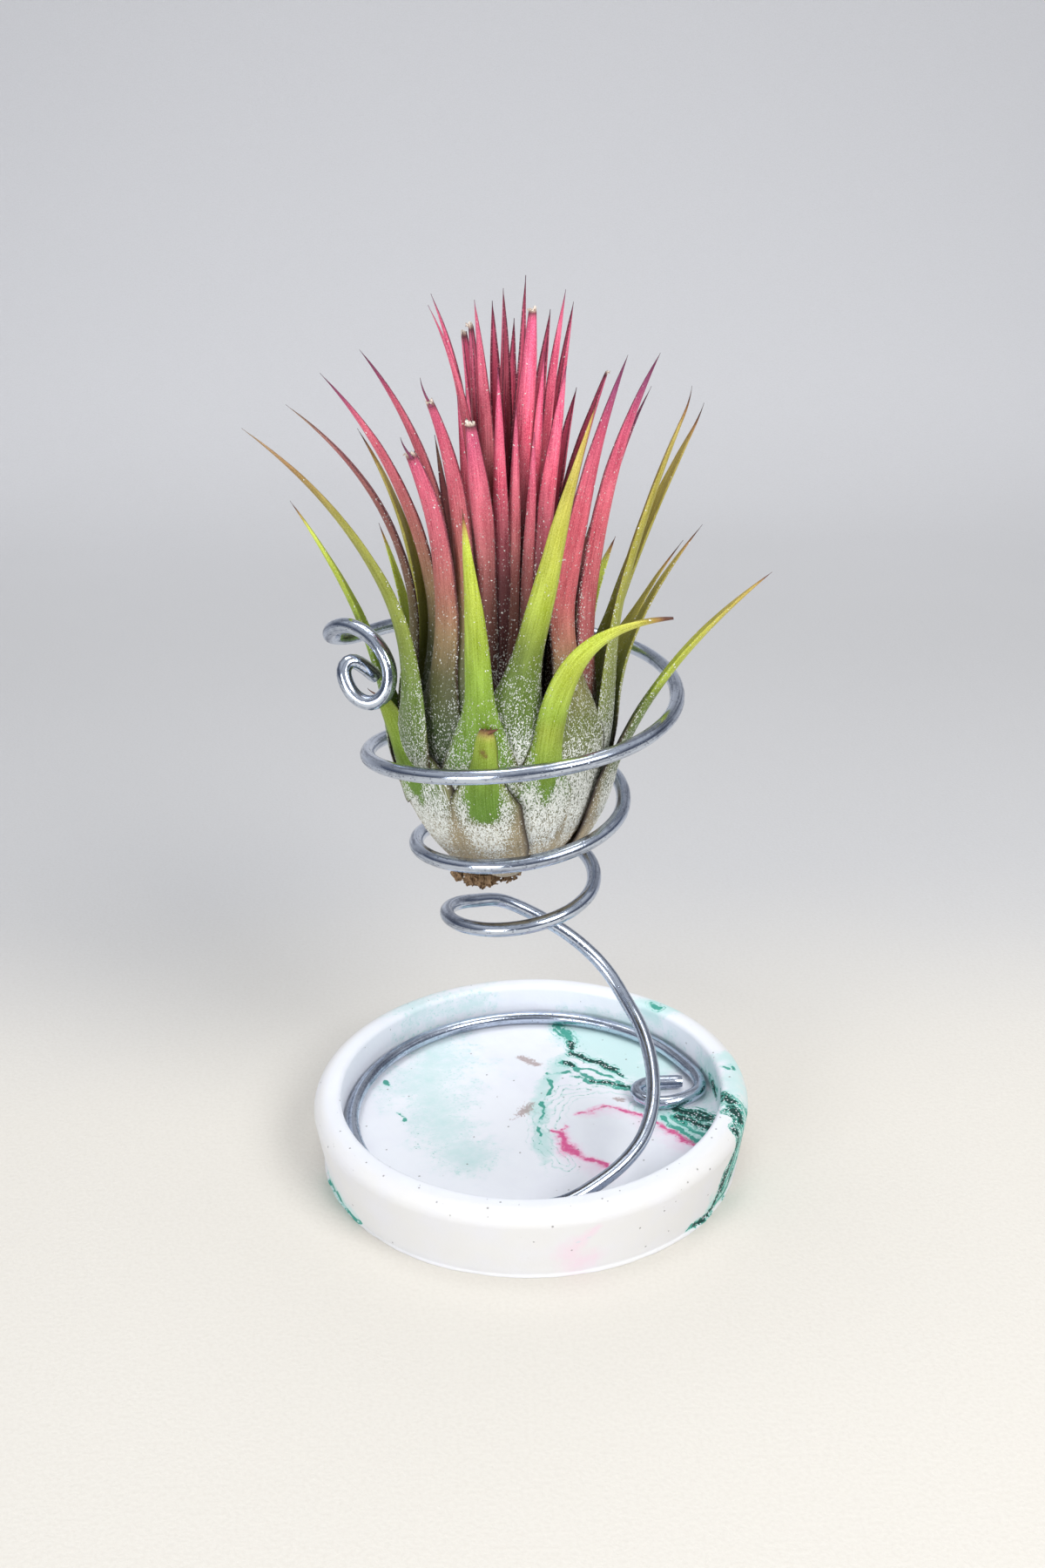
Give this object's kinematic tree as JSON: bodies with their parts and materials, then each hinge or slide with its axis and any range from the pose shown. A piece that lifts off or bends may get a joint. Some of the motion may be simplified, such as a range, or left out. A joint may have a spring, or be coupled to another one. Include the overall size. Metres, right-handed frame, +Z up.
{
  "type": "sky plant in a spiral wire stand",
  "caption": "Air plant rosette with a blushing pink heart, resting in a spiral of bent wire that stands in a shallow round cast dish.",
  "frame": {"origin": "centre of the dish's underside, on the surface it stands on", "axes": "+Z up along the axis of the dish, -Y towards the front of the plant, +X to its right"},
  "size_m": [0.0824, 0.08, 0.1578],
  "materials": {
    "cast_dish": "matt, marbled",
    "galvanised_wire": "drawn, galvanised",
    "leaf_green": "scurfy, silver to green",
    "leaf_olive": "scurfy, olive to brown",
    "leaf_pink": "scurfy, green to pink",
    "dried_sheath": "dry, fibrous"
  },
  "bodies": {
    "root": {"dish": "cast_dish", "wire_holder": "galvanised_wire", "dried_foot": "dried_sheath", "heart_leaves": "leaf_pink", "leaf_front_stub": "leaf_green", "leaf_front_arching": "leaf_green", "leaf_front_lime": "leaf_green", "leaf_front_long": "leaf_pink", "leaf_front_broken": "leaf_pink", "leaf_left_stub": "leaf_green", "leaf_left_far": "leaf_olive", "leaf_left_back": "leaf_green", "leaf_left_mauve": "leaf_olive", "leaf_left_broken": "leaf_olive", "leaf_left_green": "leaf_green", "leaf_left_pink": "leaf_pink", "leaf_left_tall": "leaf_pink", "leaf_right_far": "leaf_green", "leaf_right_olive": "leaf_olive", "leaf_right_olive_back": "leaf_olive", "leaf_right_tall": "leaf_olive", "leaf_right_tall_back": "leaf_pink", "leaf_right_slope": "leaf_pink", "leaf_right_twin": "leaf_olive", "leaf_right_dark": "leaf_olive", "leaf_right_pink": "leaf_pink", "leaf_back_01": "leaf_green", "leaf_back_02": "leaf_green", "leaf_back_03": "leaf_olive", "leaf_back_04": "leaf_green", "leaf_back_05": "leaf_olive", "leaf_back_06": "leaf_green", "leaf_back_07": "leaf_green", "leaf_back_08": "leaf_olive", "leaf_back_09": "leaf_green", "leaf_back_10": "leaf_olive", "leaf_back_11": "leaf_green", "leaf_back_12": "leaf_green"}
  },
  "joints": []
}
